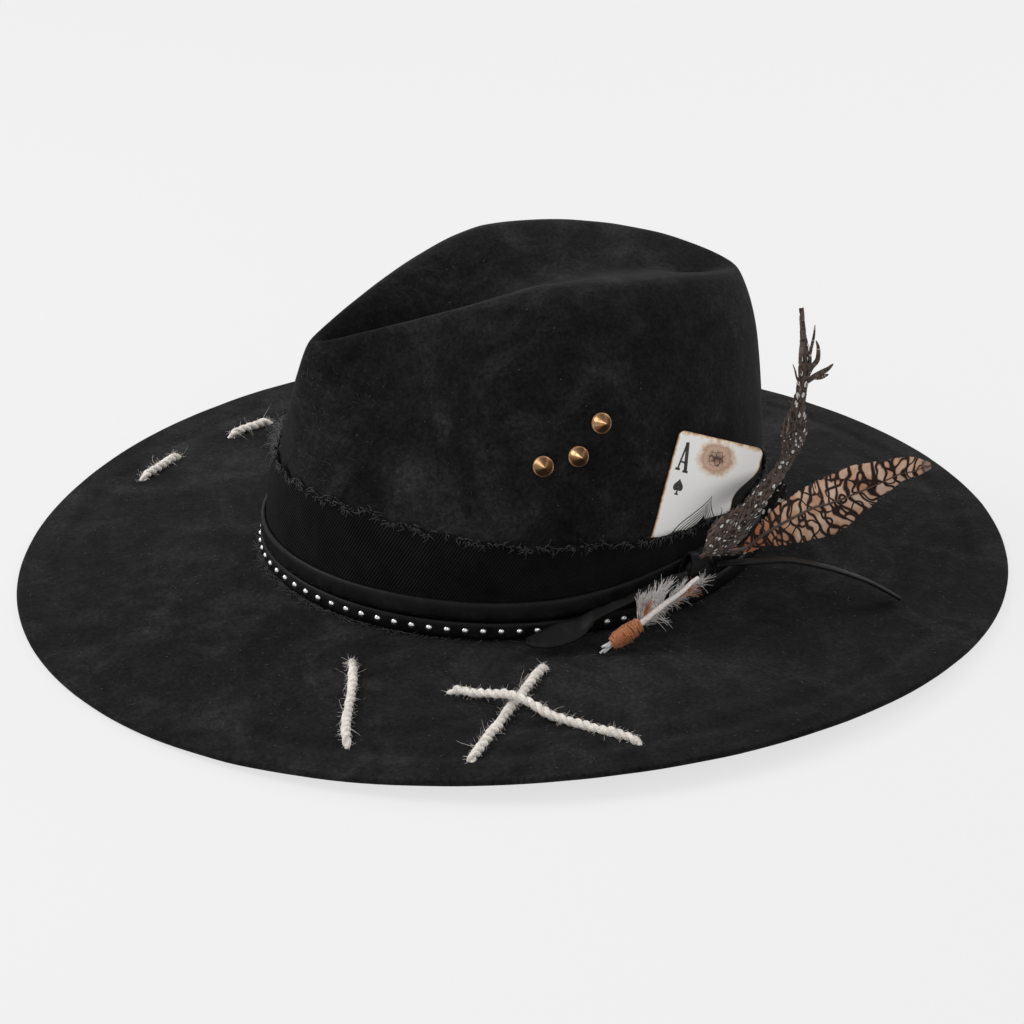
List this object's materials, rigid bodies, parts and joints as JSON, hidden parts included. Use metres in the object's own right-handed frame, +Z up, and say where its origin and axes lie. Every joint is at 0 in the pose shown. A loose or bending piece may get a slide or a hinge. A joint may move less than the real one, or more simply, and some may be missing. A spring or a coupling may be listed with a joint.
{
  "type": "wide brim fedora",
  "caption": "Wide brim felt fedora with a teardrop crown, raw twill band, studded and plain leather straps, cone studs, a tucked card, a feather bundle and twine stitches",
  "frame": {"origin": "middle of the hat at the lowest edge of the brim", "axes": "+Z up through the crown, -Y to the hat's front, +X to its trimmed left side"},
  "size_m": [0.372, 0.404, 0.133],
  "materials": {
    "black_felt": "brushed wool felt, matt",
    "black_twill": "ribbed cotton twill with raw edges",
    "black_leather": "soft semi-matt leather",
    "studded_leather": "soft leather with polished nickel studs",
    "brass": "turned, lightly aged",
    "card": "coated card, scorched",
    "guinea": "grey-brown feather with white spots",
    "dark_guinea": "black feather with white spots",
    "pheasant": "rust feather with dark bars",
    "quill": "bare quill and pale down",
    "copper_thread": "wound cotton thread",
    "twine": "fuzzy twisted twine"
  },
  "bodies": {
    "root": {"felt_body": "black_felt", "twill_band": "black_twill", "leather_strip": "black_leather", "studded_strip": "studded_leather", "leather_knot": "black_leather", "tie_tail_long": "black_leather", "tie_tail_short": "black_leather", "cone_stud_1": "brass", "cone_stud_2": "brass", "cone_stud_3": "brass", "playing_card": "card", "guinea_feather": "guinea", "dark_guinea_feather": "dark_guinea", "pheasant_feather": "pheasant", "feather_quill": "quill", "thread_wrap": "copper_thread", "bar_stitch": "twine", "cross_stitch_long": "twine", "cross_stitch_short": "twine", "brim_stitch_1": "twine", "brim_stitch_2": "twine"}
  },
  "joints": []
}
